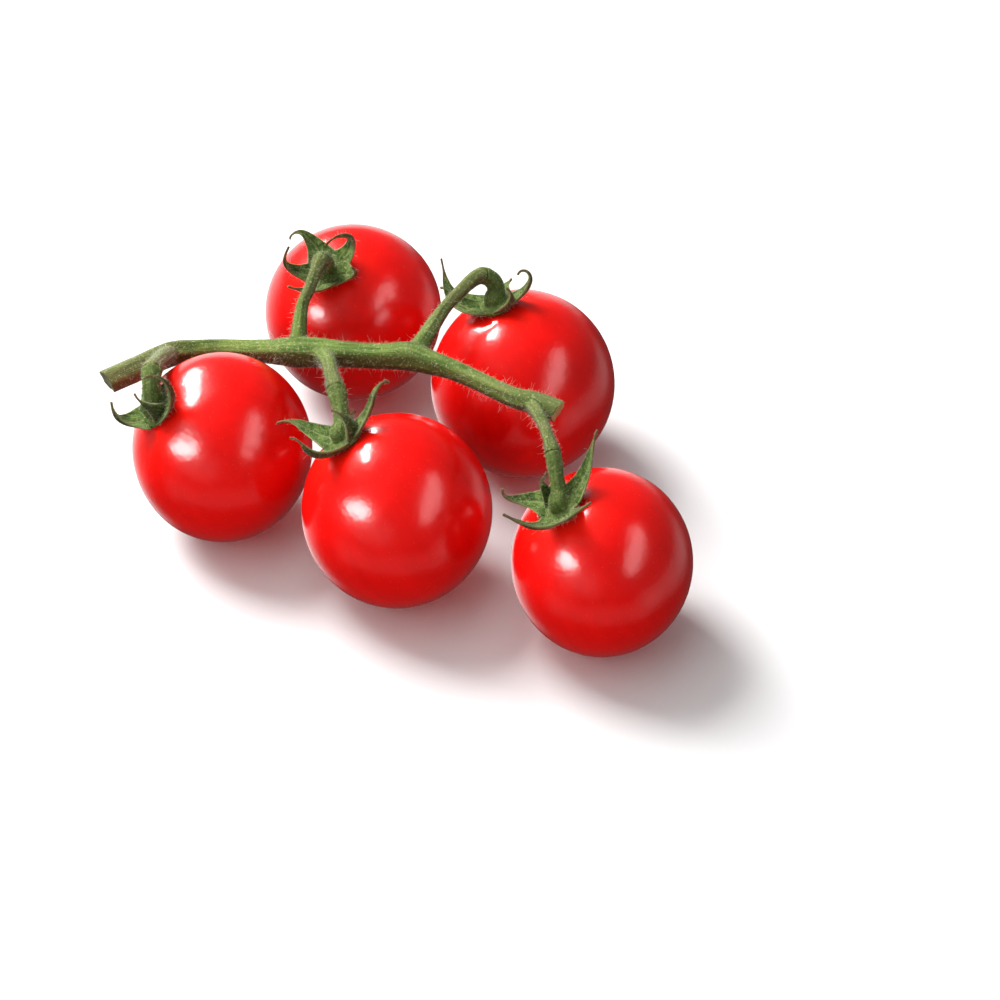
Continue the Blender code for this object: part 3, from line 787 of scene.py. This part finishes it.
def fine_hairs():
    """The node tree that sets hairs on a surface. Lengths are metres, and density is hairs a square metre."""
    tree = bpy.data.node_groups.new("fine_hairs", "GeometryNodeTree")
    inputs = {}
    for name, kind in (("Surface", "NodeSocketGeometry"), ("Density", "NodeSocketFloat"),
                       ("Length", "NodeSocketFloat"), ("Thickness", "NodeSocketFloat"),
                       ("Lean", "NodeSocketFloat"), ("Seed", "NodeSocketInt"),
                       ("Hair", "NodeSocketMaterial")):
        inputs[name] = tree.interface.new_socket(name, in_out="INPUT", socket_type=kind).identifier
    tree.interface.new_socket("Hairs", in_out="OUTPUT", socket_type="NodeSocketGeometry")
    root = Socket(tree)
    given = tree.nodes.new("NodeGroupInput")
    value = {name: Socket(tree, given.outputs[name]) for name in inputs}
    length = value["Length"]
    middle = root.node("ShaderNodeCombineXYZ", None, {"Z": length * HAIR_MIDDLE})
    tip = root.node("ShaderNodeCombineXYZ", None,
                    {"X": length * HAIR_TIP_OVER, "Z": length * HAIR_TIP_HEIGHT})
    line = root.node("GeometryNodeCurveQuadraticBezier", None,
                     {"Resolution": HAIR_STEPS, "Start": (0.0, 0.0, 0.0), "Middle": middle, "End": tip})
    along = root.node("GeometryNodeSplineParameter")
    taper = 1.0 - along * HAIR_TAPER
    ring = root.node("GeometryNodeCurvePrimitiveCircle", None,
                     {"Resolution": HAIR_SIDES, "Radius": value["Thickness"] * 0.5})
    line = root.node("GeometryNodeStoreNamedAttribute", {"data_type": "FLOAT"},
                     {"Geometry": line, "Name": "towards_tip", "Value": along})
    hair = root.node("GeometryNodeCurveToMesh", None,
                     {"Curve": line, "Profile Curve": ring, "Scale": taper, "Fill Caps": True})
    cut = root.node("GeometryNodeInputNamedAttribute", {"data_type": "FLOAT"}, {"Name": "cut"})
    points = root.node("GeometryNodeDistributePointsOnFaces", None,
                       {"Mesh": value["Surface"], "Selection": root.maths("LESS_THAN", cut, 0.05),
                        "Density": value["Density"], "Seed": value["Seed"]})
    turned = Socket(tree, points.output.node.outputs["Rotation"])
    lean = value["Lean"]
    least = root.node("ShaderNodeCombineXYZ", None, {"X": lean * -1.0, "Y": lean * -1.0, "Z": -math.pi})
    most = root.node("ShaderNodeCombineXYZ", None, {"X": lean, "Y": lean, "Z": math.pi})
    swing = root.node("FunctionNodeRandomValue", {"data_type": "FLOAT_VECTOR"},
                      {0: least, 1: most, "Seed": value["Seed"]})
    swing = root.node("FunctionNodeEulerToRotation", None, {"Euler": swing})
    turned = root.node("FunctionNodeRotateRotation", {"rotation_space": "LOCAL"},
                       {"Rotation": turned, "Rotate By": swing})
    size = root.node("FunctionNodeRandomValue", {"data_type": "FLOAT"},
                     {2: HAIR_SIZES[0], 3: HAIR_SIZES[1], "Seed": value["Seed"] + SIZE_SEED_STEP}, take=1)
    hairs = root.node("GeometryNodeInstanceOnPoints", None,
                      {"Points": points, "Instance": hair, "Rotation": turned, "Scale": size})
    hairs = root.node("GeometryNodeRealizeInstances", None, {"Geometry": hairs})
    hairs = root.node("GeometryNodeSetMaterial", None, {"Geometry": hairs, "Material": value["Hair"]})
    finished = tree.nodes.new("NodeGroupOutput")
    tree.links.new(hairs.output, finished.inputs["Hairs"])
    return tree, inputs


HAIR_ROOT = (0.300, 0.330, 0.140, 1.0)
HAIR_TIP = (0.820, 0.780, 0.620, 1.0)


def hair_finish():
    """Hairs: greenish at the root and glassy pale towards the tip."""
    material, root, shader = new_finish("pale_hair", Roughness=0.5, Specular_IOR_Level=0.2,
                                        Subsurface_Weight=0.3, Subsurface_Scale=0.0005,
                                        Subsurface_Radius=(1.0, 0.9, 0.6))
    along = root.node("ShaderNodeAttribute", {"attribute_name": "towards_tip"}, take=2)
    place = root.node("ShaderNodeTexCoord", take=3)
    pale = (along * 0.8 + place.noise(600.0) * 0.3 + 0.3).between(0.0, 1.0)
    feed(shader, Base_Color=pale.mix(HAIR_ROOT, HAIR_TIP))
    return material


hair_tree, hair_inputs = fine_hairs()
pale_hair = hair_finish()


def grow_hairs(name, surface, density, length, thickness, lean, seed):
    """Hairs on a copy of a finished surface, made a plain mesh. Density is per square millimetre."""
    piece = bpy.data.objects.new(name, surface.data)
    bpy.context.scene.collection.objects.link(piece)
    growth = piece.modifiers.new("growth", "NODES")
    growth.node_group = hair_tree
    for setting, value in (("Density", density / MM ** 2), ("Length", length * MM),
                           ("Thickness", thickness * MM), ("Lean", math.radians(lean)), ("Seed", seed),
                           ("Hair", pale_hair)):
        growth[hair_inputs[setting]] = value
    bpy.context.view_layer.update()
    hairs = bpy.data.meshes.new_from_object(piece.evaluated_get(bpy.context.evaluated_depsgraph_get()))
    piece.modifiers.clear()
    piece.data = hairs
    hairs.name = name
    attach(piece, "root")


grow_hairs("stem_down", stem, density=3.0, length=0.48, thickness=0.040, lean=30, seed=11)
grow_hairs("stem_hairs", stem, density=0.40, length=1.6, thickness=0.040, lean=28, seed=12)
for number, calyx in enumerate(calyxes, start=1):
    grow_hairs(f"calyx_down_{number}", calyx, density=2.8, length=0.42, thickness=0.038, lean=35,
               seed=20 + number)
    grow_hairs(f"calyx_hairs_{number}", calyx, density=0.30, length=1.0, thickness=0.038, lean=36,
               seed=30 + number)

# Floor, lights and camera
# A plain pale surface in a white room, with four soft lights and three soft reflections. The camera
# stands where the photograph's did: 42 degrees above the surface, with a long lens.

# metres
FLOOR_SIZE = 6.0
FLOOR_WHITE = (0.86, 0.86, 0.86, 1.0)
FLOOR_SHADE = (0.85, 0.85, 0.85, 1.0)


def floor_finish():
    material, root, shader = new_finish("pale_floor", Roughness=0.75, Specular_IOR_Level=0.2)
    place = root.node("ShaderNodeTexCoord", take=3)
    feed(shader, Base_Color=(place.noise(3.0) * 0.02 + 0.5).mix(FLOOR_SHADE, FLOOR_WHITE))
    return material


half = FLOOR_SIZE / 2
floor_mesh = bpy.data.meshes.new("floor")
corners = [(-half, -half, 0.0), (half, -half, 0.0), (half, half, 0.0), (-half, half, 0.0)]
floor_mesh.from_pydata(corners, [], [(0, 1, 2, 3)])
floor_mesh.materials.append(floor_finish())
floor = bpy.data.objects.new("floor", floor_mesh)
bpy.context.scene.collection.objects.link(floor)

# the skins mirror the room round them, and the pale surface would make a hard line in each and
# wash out the deep red below it
floor.visible_glossy = False
floor.visible_diffuse = False

# the point that the lights face, in metres
AIM = Vector((0.0, 0.0, 0.02))
glossy_skins = bpy.data.collections.new("glossy_skins")
for fruit in fruits:
    glossy_skins.objects.link(fruit)


def soft_box(name, towards, distance, size, power, shine=False, skins_only=False, roll=0):
    """An area light that faces the truss from the given direction. Sizes are metres and watts.

    A shine is only a reflection, and any other box gives light and no reflection. One for the skins
    only lights nothing else."""
    lamp = bpy.data.lights.new(name, "AREA")
    lamp.shape = "ELLIPSE" if shine else "RECTANGLE"
    lamp.size, lamp.size_y = size
    lamp.energy = power
    box = bpy.data.objects.new(name, lamp)
    way = Vector(towards).normalized()
    box.location = AIM + way * distance
    box.rotation_mode = "QUATERNION"
    box.rotation_quaternion = way.to_track_quat("Z", "Y") @ Quaternion((0.0, 0.0, 1.0), math.radians(roll))
    box.visible_diffuse = not shine
    box.visible_glossy = shine
    if skins_only:
        box.light_linking.receiver_collection = glossy_skins
    bpy.context.scene.collection.objects.link(box)


soft_box("key", (-0.56, 0.46, 0.70), 1.1, (0.6, 0.8), 24.0)
soft_box("fill", (-0.6, -0.6, 0.6), 1.4, (0.9, 0.9), 4.0)
soft_box("top", (-0.35, 0.1, 1.0), 1.4, (1.4, 1.4), 6.0)
soft_box("front", (-0.6, -1.0, 0.3), 1.3, (1.2, 0.6), 8.5, skins_only=True)
soft_box("key_shine", (-0.50, 0.60, 0.62), 1.1, (0.23, 0.95), 84.0, shine=True, skins_only=True, roll=-44)
soft_box("side_shine", (-0.73, -0.50, 0.46), 1.2, (0.72, 0.36), 36.0, shine=True, skins_only=True, roll=14)
soft_box("stripe_shine", (0.68, -0.37, 0.61), 1.2, (1.35, 0.46), 13.0, shine=True, skins_only=True, roll=30)

# The room is evenly pale above. Below, where the surface hides it from the camera, it is white
# behind the truss and to its left and right, and in front a pale band lies over a dark foreground.
ROOM_LIGHT = 0.28
BEHIND_LIGHT = 1.5
RIGHT_LIGHT = 1.1
BAND_LIGHT = 0.6
FOREGROUND_LOSS = 0.2

world = bpy.data.worlds.new("white_room")
bpy.context.scene.world = world
world.use_nodes = True
room = world.node_tree.nodes["Background"]
room.inputs["Color"].default_value = (1.0, 1.0, 1.0, 1.0)
way = Socket(world.node_tree).node("ShaderNodeTexCoord")
below = 1 - way.part(2).between(-0.15, 0.0)
bright_side = way.part(1).between(0.1, 0.75) * (1 - way.part(0).between(-0.1, 0.45) * 0.65)
bright_side = bright_side * (way.part(2) - way.part(0) * 0.9).between(-0.64, -0.48)
right_side = way.part(0).between(0.55, 0.85) * way.part(2).between(-0.6, -0.3)
depth = way.part(2) + way.noise(2.5) * 0.12
in_front = 1 - way.part(1).between(-0.45, -0.15)
band = in_front * depth.between(-0.66, -0.56) * (1 - depth.between(-0.32, -0.1))
under = bright_side * BEHIND_LIGHT + right_side * RIGHT_LIGHT + band * BAND_LIGHT - FOREGROUND_LOSS
feed(room, Strength=below * under + ROOM_LIGHT)

# the point that the camera looks at and its distance from there, in metres
CAMERA_TARGET = Vector((0.0197, 0.0, 0.0))
CAMERA_DISTANCE = 0.8
CAMERA_HEIGHT_ANGLE = math.radians(42)
SENSOR_WIDTH = 36.0
# millimetres of the object, at the target, that one of the image's 1000 pixels covers
PIXEL_MM = 0.185

lens = bpy.data.cameras.new("camera")
lens.sensor_width = SENSOR_WIDTH
lens.lens = SENSOR_WIDTH * CAMERA_DISTANCE / (PIXEL_MM * MM * 1000)
camera = bpy.data.objects.new("camera", lens)
view = Vector((0.0, -math.cos(CAMERA_HEIGHT_ANGLE), math.sin(CAMERA_HEIGHT_ANGLE)))
camera.location = CAMERA_TARGET + view * CAMERA_DISTANCE
camera.rotation_euler = (math.pi / 2 - CAMERA_HEIGHT_ANGLE, 0.0, 0.0)
bpy.context.scene.collection.objects.link(camera)
bpy.context.scene.camera = camera
bpy.context.scene.view_settings.view_transform = "Standard"
